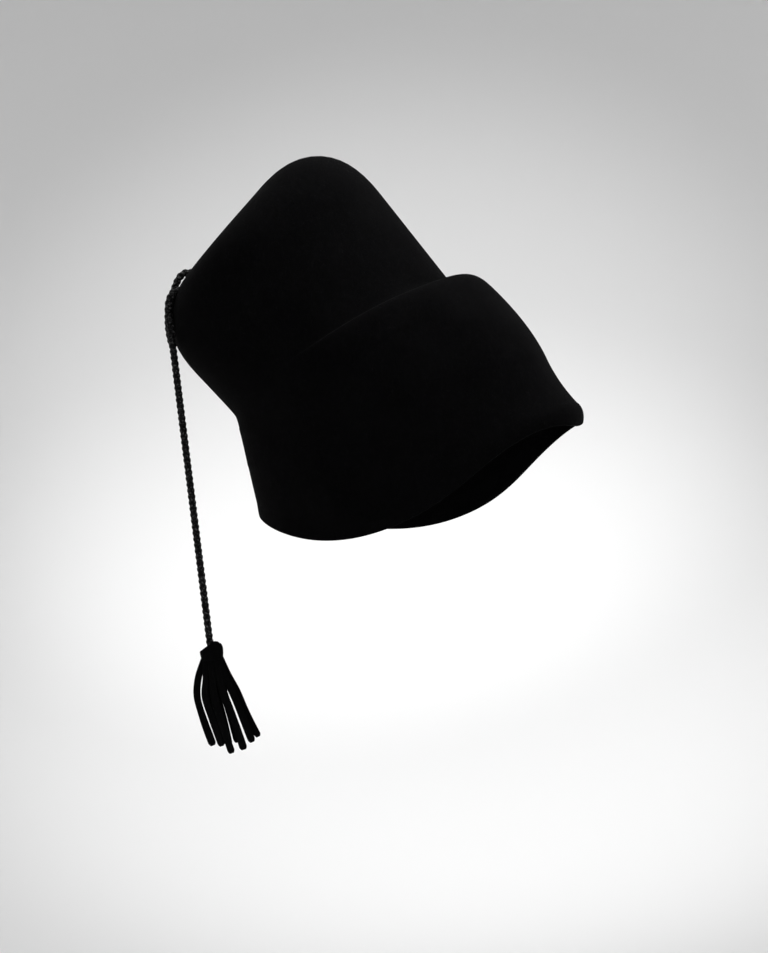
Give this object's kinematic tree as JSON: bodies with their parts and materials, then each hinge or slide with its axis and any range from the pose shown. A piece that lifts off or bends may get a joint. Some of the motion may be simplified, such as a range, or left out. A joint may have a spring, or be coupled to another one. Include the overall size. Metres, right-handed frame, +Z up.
{
  "type": "fez hat",
  "caption": "Black felt fez whose crown leans back from a creased waist, on a deep cap with a short front peak, with a felt tassel on a braided cord.",
  "frame": {"origin": "the middle of the head opening, in the hat's middle plane and midway along the rim, where the head enters", "axes": "+X to the wearer's front, +Y to the wearer's left, +Z up, with the hat tilted as it is worn and the cord hanging along -Z"},
  "size_m": [0.283, 0.163, 0.4016],
  "materials": {
    "black_felt": "matte brushed wool felt",
    "braided_cord": "braided cord with a slight lustre",
    "tassel_felt": "matte cut felt strips"
  },
  "bodies": {
    "root": {"felt_body": "black_felt", "hanging_cord": "braided_cord", "tassel": "tassel_felt"}
  },
  "joints": []
}
